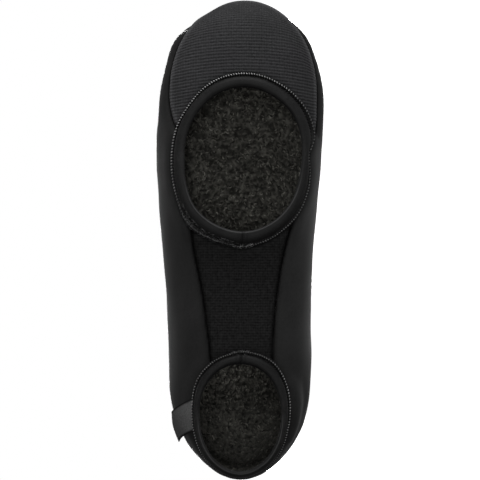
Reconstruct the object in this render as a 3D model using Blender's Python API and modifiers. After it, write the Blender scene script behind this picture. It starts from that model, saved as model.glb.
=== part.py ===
"""A fleece-lined cycling overshoe for the right foot, lying on its inner side.

Sizes are in millimetres in the shoe's own frame: along runs from the back of the heel to the toe tip,
across runs towards the inner side of the foot, and up runs from the underside to the collar. An empty
lays the finished pieces on the floor.
"""

import math
from collections import namedtuple

import bmesh
import bpy
import numpy as np
from mathutils import Matrix, Vector

MM = 0.001

LENGTH = 304.0
WALL = 2.4
SEAM_GAP = 0.3
BINDING_PROUD = 0.5
HEM_STEP = 0.8
HEM_LEVEL = 15.2
HEM_EDGE = 0.06

TOE_ROUND = 2.03
HEEL_ROUND = 1.8
TOE_SPRING = 10.0
SPRING_START = 200.0
ARCH_RISE = 3.5
ARCH_SPAN = (80.0, 170.0)
ARCH_FADE_UP = 36.0
TOE_SWING = 3.2
SWING_START = 215.0
WAIST_SWING = 1.0
WAIST_MIDDLE = 160.0
WAIST_REACH = 70.0
SWING_FADE_UP = (60.0, 100.0)

# The floor plane under the inner side: it touches the ball and the heel, and the soft wall is pressed
# flat against it.
FLOOR_TURN = math.radians(2.8)
FLOOR_LIFT = 42.4

LEVEL_STEP = 0.5
COLUMNS = 56
CUTTER_SIDES = 72

# One row for each level of the last, from the line under the foot to the collar. rear and front are
# where the level ends, half_rear and half_front its half widths where the rounded ends start, end_rear
# and end_front how long those ends are, and slump how far the slack shaft has sunk to the floor side.
Section = namedtuple("Section", "up rear front half_rear half_front end_rear end_front slump")
SECTIONS = [
    Section(0.0, 42.0, 262.0, 0.0, 0.0, 20.0, 24.0, 0.0),
    Section(0.3, 27.0, 276.0, 14.0, 20.0, 34.0, 40.0, 0.0),
    Section(2.6, 13.0, 289.0, 28.5, 36.5, 46.0, 54.0, 0.0),
    Section(8.5, 4.6, 298.5, 38.0, 45.6, 54.0, 63.0, 0.0),
    Section(17.5, 1.0, 303.0, 43.3, 50.9, 58.0, 68.0, 0.0),
    Section(28.0, 0.0, 304.0, 44.7, 52.4, 60.0, 70.0, 0.0),
    Section(39.0, 0.6, 301.0, 44.4, 51.2, 60.0, 69.0, 0.0),
    Section(48.0, 1.8, 289.0, 43.6, 47.6, 60.0, 64.0, 0.0),
    Section(54.5, 2.8, 267.0, 42.9, 43.4, 60.0, 60.0, 0.0),
    Section(61.0, 4.0, 237.0, 42.2, 39.8, 60.0, 58.0, 0.0),
    Section(69.5, 5.6, 203.0, 41.2, 38.4, 58.0, 56.0, 0.0),
    Section(82.0, 7.6, 169.0, 39.6, 37.6, 54.0, 52.0, 0.5),
    Section(98.0, 9.4, 145.0, 36.6, 35.6, 48.0, 46.0, 3.4),
    Section(115.0, 12.5, 133.0, 30.2, 29.6, 40.0, 39.0, 11.4),
    Section(132.0, 21.5, 133.0, 21.6, 21.4, 29.0, 29.0, 22.5),
    Section(149.0, 36.0, 143.0, 12.6, 12.6, 18.0, 18.0, 34.4),
    Section(166.0, 52.0, 156.0, 8.6, 8.6, 12.0, 12.0, 39.8),
]

TOP_LEVEL = len(SECTIONS) - 1
NORMAL_STEP = 0.02

# The main folds: soft troughs (depth below 0) and ridges between two places seen from the side, each place
# an along and an up. side is 1 on the inner side of the foot and -1 on the outer. The rows with the highest
# places lie in the slack shaft, and the others make the cloth swell and sink along the foot's sides.
Fold = namedtuple("Fold", "side start end half depth")
FOLDS = [
    Fold(-1, (146.0, 96.0), (98.0, 86.0), 9.0, -2.8),
    Fold(-1, (150.0, 112.0), (84.0, 103.0), 8.0, 1.8),
    Fold(-1, (134.0, 122.0), (80.0, 119.0), 8.0, -2.4),
    Fold(-1, (6.0, 94.0), (48.0, 100.0), 9.0, -2.4),
    Fold(-1, (6.0, 116.0), (40.0, 116.0), 8.0, 1.6),
    Fold(-1, (4.0, 134.0), (58.0, 128.0), 8.0, -2.0),
    Fold(-1, (66.0, 74.0), (64.0, 98.0), 14.0, 1.4),
    Fold(1, (148.0, 98.0), (104.0, 92.0), 9.0, -2.2),
    Fold(1, (4.0, 98.0), (40.0, 104.0), 9.0, -1.8),
    Fold(-1, (278.0, 46.0), (277.0, 26.0), 11.0, 2.3),
    Fold(-1, (297.0, 42.0), (297.0, 24.0), 8.0, -1.5),
    Fold(-1, (248.0, 36.0), (237.0, 30.0), 13.0, -0.9),
    Fold(-1, (214.0, 32.0), (202.0, 30.0), 12.0, 0.7),
    Fold(-1, (143.0, 32.0), (126.0, 32.0), 13.0, -0.6),
    Fold(1, (284.0, 44.0), (279.0, 26.0), 10.0, 0.9),
    Fold(1, (297.0, 42.0), (297.0, 24.0), 7.0, -0.6),
    Fold(1, (222.0, 34.0), (206.0, 30.0), 15.0, 2.2),
    Fold(1, (145.0, 32.0), (116.0, 32.0), 16.0, -0.9),
    Fold(1, (70.0, 30.0), (52.0, 30.0), 15.0, 2.1),
    Fold(1, (30.0, 30.0), (8.0, 30.0), 12.0, 1.1),
]
FOLD_SIDE_EDGE = 0.9

# The two rims of each opening, as cones that narrow upwards: centre and half sizes at the underside,
# and the height of the cone's tip.
Rim = namedtuple("Rim", "along across half_along half_across tip")
CLEAT_OUTER = Rim(201.95, 1.3, 55.25, 46.2, 150.0)
CLEAT_INNER = Rim(202.6, 2.4, 46.5, 39.0, 150.0)
HEEL_OUTER = Rim(37.0, 1.1, 43.9, 33.0, 70.0)
HEEL_INNER = Rim(37.4, 0.6, 36.4, 27.6, 70.0)
RIM_BELOW = 12.0
RIM_ABOVE = 30.0

# The toe panel's seam: an oval seen from below, longer than the toe so that the panel wraps its tip.
TOE_SEAM_ALONG = 245.0
TOE_SEAM_ACROSS = 2.35
TOE_SEAM_FRONT = 60.7
TOE_SEAM_REAR = 50.0
TOE_SEAM_HALF = 46.65
TOE_TOP_START = (225.0, 20.0)
TOE_TOP_SLOPE = 0.26

# The arch panel's seams: half width at its narrow end by the heel and at its wide end by the ball.
ARCH_ENDS = (60.0, 176.0)
ARCH_NARROW_AT = 75.0
ARCH_WIDE_AT = 160.0
ARCH_OUTER_HALF = (18.3, 31.0, 1.4)
ARCH_INNER_HALF = (21.4, 33.3, 2.0)
ARCH_STEPS = 16
ARCH_TOP = 26.0

# The ribbon loop beside the heel opening, on the outer side: the rear and front corner of its sewn edge
# and of its free fold, each with how far it stands off the upper.
Corner = namedtuple("Corner", "along level off")
TAG_SEWN = (Corner(31.0, 2.88, 0.5), Corner(51.5, 2.24, 0.5))
TAG_FREE = (Corner(26.0, 4.55, 3.5), Corner(43.7, 3.84, 2.0))
TAG_THICK = 1.1
TAG_STEPS = (6, 5)

# The colour and roughness of each piece.
Finish = namedtuple("Finish", "colour roughness")
FINISHES = {
    "upper": Finish((0.022, 0.022, 0.023, 1.0), 0.75),
    "toe_panel": Finish((0.038, 0.038, 0.04, 1.0), 0.8),
    "arch_panel": Finish((0.012, 0.012, 0.012, 1.0), 0.85),
    "cleat_binding": Finish((0.017, 0.017, 0.018, 1.0), 0.6),
    "heel_binding": Finish((0.017, 0.017, 0.018, 1.0), 0.6),
    "side_tag": Finish((0.06, 0.06, 0.06, 1.0), 0.7),
}


def smooth(x):
    """0 below 0, 1 above 1, and an S curve between."""
    x = np.clip(x, 0.0, 1.0)
    return x * x * (3.0 - 2.0 * x)


def section_at(level):
    """The section at a level between two rows, on a smooth curve through the rows."""
    rows = np.array(SECTIONS)
    last = TOP_LEVEL
    first = min(int(level), last - 1)
    x = level - first
    before, here = rows[max(first - 1, 0)], rows[first]
    there, after = rows[first + 1], rows[min(first + 2, last)]
    leave = (there - before) / 2.0 if first > 0 else there - here
    arrive = (after - here) / 2.0 if first + 2 <= last else there - here
    return Section(*(
        here * (1 + 2 * x) * (1 - x) ** 2
        + leave * x * (1 - x) ** 2
        + there * x * x * (3 - 2 * x)
        + arrive * x * x * (x - 1)
    ))


def half_width(row, along):
    """Half the width of a level at places along it, with rounded ends."""
    start = row.rear + row.end_rear
    end = row.front - row.end_front
    middle = row.half_rear + (row.half_front - row.half_rear) * smooth((along - start) / (end - start))
    back = np.clip((start - along) / row.end_rear, 0.0, 1.0)
    fore = np.clip((along - end) / row.end_front, 0.0, 1.0)
    heel = (1.0 - back ** HEEL_ROUND) ** (1.0 / HEEL_ROUND)
    toe = (1.0 - fore ** TOE_ROUND) ** (1.0 / TOE_ROUND)
    return middle * heel * toe


def press_flat(points, lowest):
    """Points that would sink under the floor plane are moved up to a height above it."""
    turn_sin, turn_cos = math.sin(FLOOR_TURN), math.cos(FLOOR_TURN)
    height = points[:, 0] * turn_sin - points[:, 1] * turn_cos + FLOOR_LIFT
    points[:, 1] -= np.maximum(lowest - height, 0.0) / turn_cos
    return points


def raw_surface(level, turn):
    """The last's surface: turn runs once round a level, from the heel along the inner side."""
    row = section_at(level)
    angle = turn * 2.0 * math.pi
    along = row.rear + (row.front - row.rear) * (1.0 - np.cos(angle)) / 2.0
    side = np.where(np.sin(angle) >= 0.0, 1.0, -1.0)
    spring = TOE_SPRING * np.clip((along - SPRING_START) / (LENGTH - SPRING_START), 0.0, 1.0) ** 2
    arch_x = np.clip((along - ARCH_SPAN[0]) / (ARCH_SPAN[1] - ARCH_SPAN[0]), 0.0, 1.0)
    arch = ARCH_RISE * np.sin(math.pi * arch_x) ** 2 * (1.0 - smooth(row.up / ARCH_FADE_UP))
    waist_x = np.clip((along - WAIST_MIDDLE) / WAIST_REACH, -1.0, 1.0)
    swing = TOE_SWING * smooth((along - SWING_START) / (LENGTH - SWING_START))
    swing = swing - WAIST_SWING * np.cos(waist_x * math.pi / 2.0) ** 2
    fade_start, fade_end = SWING_FADE_UP
    swing = swing * (1.0 - smooth((row.up - fade_start) / (fade_end - fade_start)))
    across = row.slump + swing + side * half_width(row, along)
    return np.stack([along, across, row.up + spring + arch], axis=1)


def fold_depth(points, normals):
    """How far the main folds move the surface out along its normal."""
    moved = np.zeros(len(points))
    for fold in FOLDS:
        start, end = np.array(fold.start), np.array(fold.end)
        line = end - start
        seen = points[:, (0, 2)] - start
        part = np.clip(seen @ line / (line @ line), 0.0, 1.0)
        apart = np.linalg.norm(seen - part[:, None] * line, axis=1)
        faces = smooth(0.5 + FOLD_SIDE_EDGE * fold.side * normals[:, 1])
        moved += fold.depth * np.exp(-((apart / fold.half) ** 2)) * faces
    return moved


def surface(level, turn, out, lowest):
    """The folded surface moved out along its normal, and pressed flat at the floor."""
    step = NORMAL_STEP
    around = raw_surface(level, turn + step / COLUMNS) - raw_surface(level, turn - step / COLUMNS)
    rise = raw_surface(min(level + step, TOP_LEVEL), turn) - raw_surface(level - step, turn)
    normal = np.cross(rise, around)
    normal = normal / np.linalg.norm(normal, axis=1, keepdims=True)
    points = raw_surface(level, turn)
    out = out + fold_depth(points, normal)[:, None]
    return press_flat(points + normal * out, lowest)


def make_object(name, bm, collection, rig):
    """A mesh object in metres, held by the empty that lays the shoe down."""
    bmesh.ops.recalc_face_normals(bm, faces=bm.faces)
    mesh = bpy.data.meshes.new(name)
    bm.to_mesh(mesh)
    bm.free()
    mesh.transform(Matrix.Scale(MM, 4))
    obj = bpy.data.objects.new(name, mesh)
    collection.objects.link(obj)
    obj.parent = rig
    return obj


def shell_mesh(proud):
    """The hollow form: outer and inner levels, joined by a rim at the collar."""
    levels = [i * LEVEL_STEP for i in range(int(TOP_LEVEL / LEVEL_STEP) + 1)]
    levels = sorted(levels + [HEM_LEVEL, HEM_LEVEL + HEM_EDGE])
    turn = np.arange(COLUMNS) / COLUMNS
    bm = bmesh.new()
    skins = []
    for inside in (False, True):
        rings = []
        for level in levels:
            step = HEM_STEP if level > HEM_LEVEL else 0.0
            out = -WALL if inside else proud + step
            lowest = WALL if inside else 0.0
            if level == 0:
                ring = raw_surface(level, turn) - np.array([0.0, 0.0, out])
            else:
                ring = surface(level, turn, out, lowest)
            rings.append([bm.verts.new(p) for p in ring])
        for lower, upper in zip(rings, rings[1:]):
            for i in range(COLUMNS):
                j = (i + 1) % COLUMNS
                bm.faces.new((lower[i], lower[j], upper[j], upper[i]))
        skins.append(rings)
    for i in range(COLUMNS):
        j = (i + 1) % COLUMNS
        outer, inner = skins[0][-1], skins[1][-1]
        bm.faces.new((outer[i], outer[j], inner[j], inner[i]))
    bmesh.ops.remove_doubles(bm, verts=bm.verts, dist=0.001)
    return bm


def cone(rim, grow):
    """The cutter of one rim of an opening."""
    bm = bmesh.new()
    bmesh.ops.create_cone(
        bm, cap_ends=True, segments=CUTTER_SIDES,
        radius1=(rim.tip + RIM_BELOW) / rim.tip,
        radius2=(rim.tip - RIM_ABOVE) / rim.tip,
        depth=RIM_ABOVE + RIM_BELOW,
    )
    bmesh.ops.translate(bm, verts=bm.verts, vec=(0.0, 0.0, (RIM_ABOVE - RIM_BELOW) / 2.0))
    bmesh.ops.scale(bm, verts=bm.verts, vec=(rim.half_along + grow, rim.half_across + grow, 1.0))
    bmesh.ops.translate(bm, verts=bm.verts, vec=(rim.along, rim.across, 0.0))
    return bm


def prism(outline, top_of):
    """A cutter that stands on an outline below the shoe and ends at a height given along the shoe."""
    bm = bmesh.new()
    base = bm.faces.new([bm.verts.new((x, y, -RIM_BELOW)) for x, y in outline])
    made = bmesh.ops.extrude_face_region(bm, geom=[base])
    for vert in (g for g in made["geom"] if isinstance(g, bmesh.types.BMVert)):
        vert.co.z = top_of(vert.co.x)
    return bm


def toe_outline(grow):
    """The toe panel's seam as seen from below."""
    points = []
    for i in range(CUTTER_SIDES):
        angle = 2.0 * math.pi * i / CUTTER_SIDES
        reach = TOE_SEAM_FRONT if math.cos(angle) > 0.0 else TOE_SEAM_REAR
        x = math.copysign(abs(math.cos(angle)) ** (2.0 / TOE_ROUND), math.cos(angle))
        y = math.copysign(abs(math.sin(angle)) ** (2.0 / TOE_ROUND), math.sin(angle))
        points.append((TOE_SEAM_ALONG + x * (reach + grow), TOE_SEAM_ACROSS + y * (TOE_SEAM_HALF + grow)))
    return points


def toe_top(along, grow):
    """The height where the toe panel ends, rising towards the toe tip."""
    return TOE_TOP_START[1] + (along - TOE_TOP_START[0]) * TOE_TOP_SLOPE + grow


def arch_half(along, shape):
    """Half the width of the arch panel on one side."""
    narrow, wide, power = shape
    x = max((along - ARCH_NARROW_AT) / (ARCH_WIDE_AT - ARCH_NARROW_AT), 0.0)
    return narrow + (wide - narrow) * x ** power


def arch_outline(grow):
    """The arch panel's two seams, run on under both openings."""
    stops = np.linspace(ARCH_ENDS[0], ARCH_ENDS[1], ARCH_STEPS)
    inner = [(x, arch_half(x, ARCH_INNER_HALF) + grow) for x in stops]
    outer = [(x, -arch_half(x, ARCH_OUTER_HALF) - grow) for x in stops[::-1]]
    return inner + outer


def tag_mesh():
    """The ribbon loop: a strip that follows the heel's outer side and lifts towards its fold."""
    bm = bmesh.new()
    wide, long = TAG_STEPS
    sewn, free = np.array(TAG_SEWN), np.array(TAG_FREE)
    rows = []
    for j in range(long + 1):
        rear, front = sewn + (free - sewn) * j / long
        points = []
        for i in range(wide + 1):
            place = Corner(*(rear + (front - rear) * i / wide))
            row = section_at(place.level)
            part_along = (place.along - row.rear) / (row.front - row.rear)
            turn = 1.0 - np.arccos(1.0 - 2.0 * part_along) / (2.0 * math.pi)
            points.append(surface(place.level, np.array([turn]), place.off, 0.0)[0])
        rows.append([bm.verts.new(p) for p in points])
    for lower, upper in zip(rows, rows[1:]):
        for i in range(wide):
            bm.faces.new((lower[i], lower[i + 1], upper[i + 1], upper[i]))
    return bm


def cut(obj, cutter, operation):
    """One exact Boolean with a cutter."""
    step = obj.modifiers.new(operation.title() + " " + cutter.name, "BOOLEAN")
    step.operation = operation
    step.object = cutter
    step.solver = "EXACT"


def finish(obj):
    """The piece's own material."""
    material = bpy.data.materials.new(obj.name)
    material.use_nodes = True
    node = next(n for n in material.node_tree.nodes if n.type == "BSDF_PRINCIPLED")
    node.inputs["Base Color"].default_value = FINISHES[obj.name].colour
    node.inputs["Roughness"].default_value = FINISHES[obj.name].roughness
    obj.data.materials.append(material)


def main():
    for obj in list(bpy.data.objects):
        bpy.data.objects.remove(obj, do_unlink=True)

    parts = bpy.data.collections.new("Cycling overshoe")
    cutters = bpy.data.collections.new("Cutters")
    bpy.context.scene.collection.children.link(parts)
    bpy.context.scene.collection.children.link(cutters)

    rig = bpy.data.objects.new("Laid on its side", None)
    parts.objects.link(rig)

    def cutter(name, bm):
        obj = make_object(name, bm, cutters, rig)
        obj.hide_render = True
        obj.display_type = "WIRE"
        return obj

    cleat_outer = cutter("Cleat opening, seam", cone(CLEAT_OUTER, SEAM_GAP / 2))
    cleat_band = cutter("Cleat opening, band", cone(CLEAT_OUTER, -SEAM_GAP / 2))
    cleat_inner = cutter("Cleat opening, fold", cone(CLEAT_INNER, 0.0))
    heel_outer = cutter("Heel opening, seam", cone(HEEL_OUTER, SEAM_GAP / 2))
    heel_band = cutter("Heel opening, band", cone(HEEL_OUTER, -SEAM_GAP / 2))
    heel_inner = cutter("Heel opening, fold", cone(HEEL_INNER, 0.0))
    toe_hole = cutter("Toe panel, hole", prism(toe_outline(SEAM_GAP / 2), lambda x: toe_top(x, SEAM_GAP)))
    toe_piece = cutter("Toe panel, piece", prism(toe_outline(-SEAM_GAP / 2), lambda x: toe_top(x, 0.0)))
    arch_hole = cutter("Arch panel, hole", prism(arch_outline(SEAM_GAP / 2), lambda x: ARCH_TOP))
    arch_piece = cutter("Arch panel, piece", prism(arch_outline(-SEAM_GAP / 2), lambda x: ARCH_TOP))

    upper = make_object("upper", shell_mesh(0.0), parts, rig)
    for tool in (cleat_outer, heel_outer, toe_hole, arch_hole):
        cut(upper, tool, "DIFFERENCE")

    toe = make_object("toe_panel", shell_mesh(0.0), parts, rig)
    cut(toe, toe_piece, "INTERSECT")
    cut(toe, cleat_outer, "DIFFERENCE")

    arch = make_object("arch_panel", shell_mesh(0.0), parts, rig)
    cut(arch, arch_piece, "INTERSECT")
    cut(arch, cleat_outer, "DIFFERENCE")
    cut(arch, heel_outer, "DIFFERENCE")

    cleat = make_object("cleat_binding", shell_mesh(BINDING_PROUD), parts, rig)
    cut(cleat, cleat_band, "INTERSECT")
    cut(cleat, cleat_inner, "DIFFERENCE")

    heel = make_object("heel_binding", shell_mesh(BINDING_PROUD), parts, rig)
    cut(heel, heel_band, "INTERSECT")
    cut(heel, heel_inner, "DIFFERENCE")

    tag = make_object("side_tag", tag_mesh(), parts, rig)
    thick = tag.modifiers.new("Ribbon", "SOLIDIFY")
    thick.thickness = TAG_THICK * MM
    thick.offset = 1.0

    for piece in (upper, toe, arch, cleat, heel, tag):
        finish(piece)
    lay_down(rig, upper)


def lay_down(rig, upper):
    """Turns the shoe onto its inner side and centres it over the origin."""
    turn_sin, turn_cos = math.sin(FLOOR_TURN), math.cos(FLOOR_TURN)
    pose = Matrix((
        (turn_cos, turn_sin, 0.0, 0.0),
        (0.0, 0.0, 1.0, 0.0),
        (turn_sin, -turn_cos, 0.0, FLOOR_LIFT * MM),
        (0.0, 0.0, 0.0, 1.0),
    ))
    placed = [pose @ vert.co for vert in upper.data.vertices]
    middle = Vector((0.0, 0.0, 0.0))
    for axis in (0, 1):
        middle[axis] = (min(p[axis] for p in placed) + max(p[axis] for p in placed)) / 2.0
    rig.matrix_world = Matrix.Translation(-middle) @ pose


main()
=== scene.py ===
"""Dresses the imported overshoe: cloth skins with seams and folds, ribs, bound openings, stitches and fleece.

Sizes are in millimetres in the shoe's own frame: along runs from the back of the heel to the toe tip,
across runs towards the inner side of the foot, and up runs from the underside to the collar. Angles round
an opening are in radians, 0 towards the toe and a quarter turn on towards the inner side. Places across a
band are parts of its width, 0 at the sewn seam and 1 at the fold.
"""

import itertools
import math
from collections import namedtuple
from functools import reduce

import bmesh
import bpy
import numpy as np
from mathutils import Matrix, Vector
from mathutils.bvhtree import BVHTree


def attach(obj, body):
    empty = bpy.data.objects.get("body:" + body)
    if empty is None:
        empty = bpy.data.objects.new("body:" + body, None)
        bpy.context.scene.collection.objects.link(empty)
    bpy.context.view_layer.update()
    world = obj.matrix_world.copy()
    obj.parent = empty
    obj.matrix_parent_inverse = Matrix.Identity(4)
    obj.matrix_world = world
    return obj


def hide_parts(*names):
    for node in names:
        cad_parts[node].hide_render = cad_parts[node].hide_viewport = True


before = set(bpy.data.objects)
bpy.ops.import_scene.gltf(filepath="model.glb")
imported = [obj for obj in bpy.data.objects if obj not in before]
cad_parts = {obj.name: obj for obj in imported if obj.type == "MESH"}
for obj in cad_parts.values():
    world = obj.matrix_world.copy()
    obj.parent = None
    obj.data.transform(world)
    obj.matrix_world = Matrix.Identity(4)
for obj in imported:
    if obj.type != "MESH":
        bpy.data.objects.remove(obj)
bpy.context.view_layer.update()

MM = 0.001
FULL_TURN = 2.0 * math.pi
TINY = 1e-9
FAR = 99.0
UP = np.array([0.0, 0.0, 1.0])

# The last, its main folds and the plain rims of its openings have the sizes of the part's source.
LENGTH = 304.0
WALL = 2.4
HEM_STEP = 0.8
HEM_LEVEL = 15.2
TOE_ROUND = 2.03
HEEL_ROUND = 1.8
TOE_SPRING = 10.0
SPRING_START = 200.0
ARCH_RISE = 3.5
ARCH_SPAN = (80.0, 170.0)
ARCH_FADE_UP = 36.0
TOE_SWING = 3.2
SWING_START = 215.0
WAIST_SWING = 1.0
WAIST_MIDDLE = 160.0
WAIST_REACH = 70.0
SWING_FADE_UP = (60.0, 100.0)

# The floor plane under the inner side, how softly cloth gives against it, and the shoe's place on it.
FLOOR_TURN = math.radians(2.8)
FLOOR_SIN, FLOOR_COS = math.sin(FLOOR_TURN), math.cos(FLOOR_TURN)
FLOOR_LIFT = 42.4
PRESS_SOFT = 0.6
FLOOR_SHIFT = (-151.502, -83.76)

# One row for each level of the last, from the line under the foot to the collar.
Section = namedtuple("Section", "up rear front half_rear half_front end_rear end_front slump")
SECTIONS = [
    (0, 42, 262, 0, 0, 20, 24, 0),
    (0.3, 27, 276, 14, 20, 34, 40, 0),
    (2.6, 13, 289, 28.5, 36.5, 46, 54, 0),
    (8.5, 4.6, 298.5, 38, 45.6, 54, 63, 0),
    (17.5, 1, 303, 43.3, 50.9, 58, 68, 0),
    (28, 0, 304, 44.7, 52.4, 60, 70, 0),
    (39, 0.6, 301, 44.4, 51.2, 60, 69, 0),
    (48, 1.8, 289, 43.6, 47.6, 60, 64, 0),
    (54.5, 2.8, 267, 42.9, 43.4, 60, 60, 0),
    (61, 4, 237, 42.2, 39.8, 60, 58, 0),
    (69.5, 5.6, 203, 41.2, 38.4, 58, 56, 0),
    (82, 7.6, 169, 39.6, 37.6, 54, 52, 0.5),
    (98, 9.4, 145, 36.6, 35.6, 48, 46, 3.4),
    (115, 12.5, 133, 30.2, 29.6, 40, 39, 11.4),
    (132, 21.5, 133, 21.6, 21.4, 29, 29, 22.5),
    (149, 36, 143, 12.6, 12.6, 18, 18, 34.4),
    (166, 52, 156, 8.6, 8.6, 12, 12, 39.8),
]
ROWS = np.array(SECTIONS)
COLUMNS = Section(*ROWS.T)
TOP_LEVEL = len(SECTIONS) - 1
WIDEST = Section(*SECTIONS[5])
NORMAL_STEP = 0.02
TURN_STEP = 0.0004

# Soft ridges and troughs of the cloth. A row has the side, 1 inner and -1 outer, the along and the up of
# both ends as seen from the side, the half width, and the depth, which is below 0 for a trough.
FOLDS = [
    (-1, 146, 96, 98, 86, 9, -2.8), (-1, 150, 112, 84, 103, 8, 1.8),
    (-1, 134, 122, 80, 119, 8, -2.4), (-1, 6, 94, 48, 100, 9, -2.4),
    (-1, 6, 116, 40, 116, 8, 1.6), (-1, 4, 134, 58, 128, 8, -2),
    (-1, 66, 74, 64, 98, 14, 1.4), (1, 148, 98, 104, 92, 9, -2.2),
    (1, 4, 98, 40, 104, 9, -1.8), (-1, 278, 46, 277, 26, 11, 2.3),
    (-1, 297, 42, 297, 24, 8, -1.5), (-1, 248, 36, 237, 30, 13, -0.9),
    (-1, 214, 32, 202, 30, 12, 0.7), (-1, 143, 32, 126, 32, 13, -0.6),
    (1, 284, 44, 279, 26, 10, 0.9), (1, 297, 42, 297, 24, 7, -0.6),
    (1, 222, 34, 206, 30, 15, 2.2), (1, 145, 32, 116, 32, 16, -0.9),
    (1, 70, 30, 52, 30, 15, 2.1), (1, 30, 30, 8, 30, 12, 1.1),
]
FOLD_SIDE_EDGE = 0.9

# Finer creases than the solids have, laid where the cloth bends or is pulled.
CREASES = [
    (-1, 156, 84, 120, 78, 4, -0.7), (-1, 140, 104, 112, 97, 3, -0.8),
    (-1, 128, 111, 96, 107, 2.6, -0.7), (-1, 126, 132, 92, 127, 3.4, -0.9),
    (-1, 12, 86, 40, 90, 3, -0.8), (-1, 10, 107, 34, 108, 2.8, -0.8),
    (-1, 10, 124, 36, 122, 3, 0.6), (-1, 20, 142, 84, 139, 4, -0.9),
    (-1, 96, 146, 117, 143, 3, -0.6), (-1, 178, 60, 150, 44, 7, -0.6),
    (-1, 214, 52, 204, 34, 6, -0.5), (-1, 30, 44, 52, 30, 6, -0.5),
    (1, 62, 5.5, 26, 14, 3, 0.8), (1, 60, 10.5, 28, 19.5, 3.4, -0.6),
    (1, 47, 44, 43, 22, 9, -1), (1, 30, 60, 60, 50, 6, -0.5),
    (1, 150, 80, 122, 70, 5, -0.7), (1, 200, 56, 182, 40, 6, -0.5),
]

# The rims are cones that narrow upwards: centre and half sizes at the underside, and the tip's height.
Rim = namedtuple("Rim", "along across half_along half_across tip")
CLEAT_OUTER = Rim(201.95, 1.3, 55.25, 46.2, 150.0)
CLEAT_INNER = Rim(202.6, 2.4, 46.5, 39.0, 150.0)
HEEL_OUTER = Rim(37.0, 1.1, 43.9, 33.0, 70.0)
HEEL_INNER = Rim(37.4, 0.6, 36.4, 27.6, 70.0)
RIM_TOP = 34.0
LEAST_SCALE = 0.1
LEAST_RATIO = 0.001

# How far each opening's seam and fold stand out from their plain ovals: an angle and a distance.
WAVES = {
    CLEAT_OUTER: [
        (-2.95, -1.2), (-2.7, -0.3), (-2.35, 2.2), (-2.0, -0.2), (-1.5, -0.8), (-1.2, -0.8), (-0.85, -1.8),
        (-0.5, -0.7), (0.0, 0.25), (0.5, 1.3), (0.75, 2.7), (1.0, 4.3), (1.15, 4.8), (1.3, 4.9), (1.4, 1.0),
        (1.5, -3.0), (1.62, -1.6), (1.85, 0.5), (2.2, 0.4), (2.5, -0.9), (2.95, -1.0), (3.14, 0.1),
    ],
    CLEAT_INNER: [
        (-2.75, -0.3), (-2.25, 1.4), (-1.6, -1.0), (-1.25, -0.3), (0.5, -0.2), (1.0, 1.1), (1.25, 0.7),
        (1.75, -1.1), (2.25, -0.6), (2.75, -0.9), (3.14, -0.5),
    ],
    HEEL_OUTER: [
        (-2.2, 0.0), (-1.75, -0.6), (-1.4, 0.0), (-0.95, 2.4), (-0.75, 1.9), (-0.25, -0.1), (0.02, 0.6),
        (0.25, 0.7), (0.65, 2.8), (1.0, 1.9), (1.4, 0.0), (1.75, -1.1), (2.2, 0.0),
    ],
    HEEL_INNER: [
        (-2.2, 0.0), (-1.5, -0.2), (-1.0, 1.1), (-0.5, 1.1), (0.1, 0.4), (0.75, 1.2), (1.25, 0.3),
        (1.6, -0.3), (2.2, 0.0),
    ],
}
WAVE_BLUR = 0.025 * np.arange(-3, 4)

# The panels' seams, which follow the photo more closely than the plain ones of the solids.
TOE_SEAM_ALONG = 245.0
TOE_SEAM_ACROSS = 2.35
TOE_SEAM_FRONT = 60.7
TOE_SEAM_REAR = 50.0
TOE_SEAM_REAR_INNER = 110.0
TOE_SEAM_HALF = 47.55
TOE_REAR_END = 219.0
TOE_TOP_START = (225.0, 20.0)
TOE_TOP_SLOPE = 0.26
ARCH_ENDS = (60.0, 176.0)
ARCH_PLACES = (75.0, 88.0, 101.0, 114.0, 123.0, 133.0, 142.0, 150.0, 157.0, 165.0)
ARCH_OUTER_HALF = (18.3, 19.5, 21.4, 23.0, 24.6, 26.7, 28.7, 29.9, 30.4, 30.6)
ARCH_INNER_HALF = (20.9, 21.2, 22.0, 23.3, 24.6, 26.1, 28.1, 30.0, 32.1, 34.4)
ARCH_TOP = 26.0
SEAM_EDGE = 0.01

SEED = 11
LATTICE_SIZE = 32
rng = np.random.default_rng(SEED)
LATTICE = rng.random((LATTICE_SIZE, LATTICE_SIZE, LATTICE_SIZE))

# A soft rise, or a dip if the height is below 0, that fades to about a third at a half width.
Mound = namedtuple("Mound", "height middle half power", defaults=(2,))


def mound(x, row):
    """The height of a mound at many places."""
    return row.height * np.exp(-(((x - row.middle) / row.half) ** row.power))


def share(x, start, end):
    """How far x has come from a start to an end, between 0 and 1."""
    return np.clip((x - start) / (end - start), 0.0, 1.0)


def ramp(x, start=0.0, end=1.0):
    """0 before a start, 1 beyond an end and an S curve between. The end may lie below the start."""
    x = share(x, start, end)
    return x * x * (3.0 - 2.0 * x)


def unit(vectors):
    """Vectors made one long."""
    return vectors / np.maximum(np.linalg.norm(vectors, axis=-1, keepdims=True), TINY)


def moved(points, normal, out):
    """Points moved out along their normals."""
    return points + normal * np.asarray(out)[..., None]


def half_turn(angle):
    """Angles brought to between minus and plus half a turn."""
    return (angle + math.pi) % FULL_TURN - math.pi


def noise(points, size, shift=0.0):
    """Smooth noise between -1 and 1 with bumps of about a size."""
    place = points / size + shift
    cell = np.floor(place).astype(int)
    part = ramp(place - cell)
    total = np.zeros(points.shape[:-1])
    for corner in itertools.product((0, 1), repeat=3):
        at = (cell + np.array(corner)) % LATTICE_SIZE
        weight = np.prod(np.where(np.array(corner) == 1, part, 1.0 - part), axis=-1)
        total += weight * LATTICE[at[..., 0], at[..., 1], at[..., 2]]
    return 2.0 * total - 1.0


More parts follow.
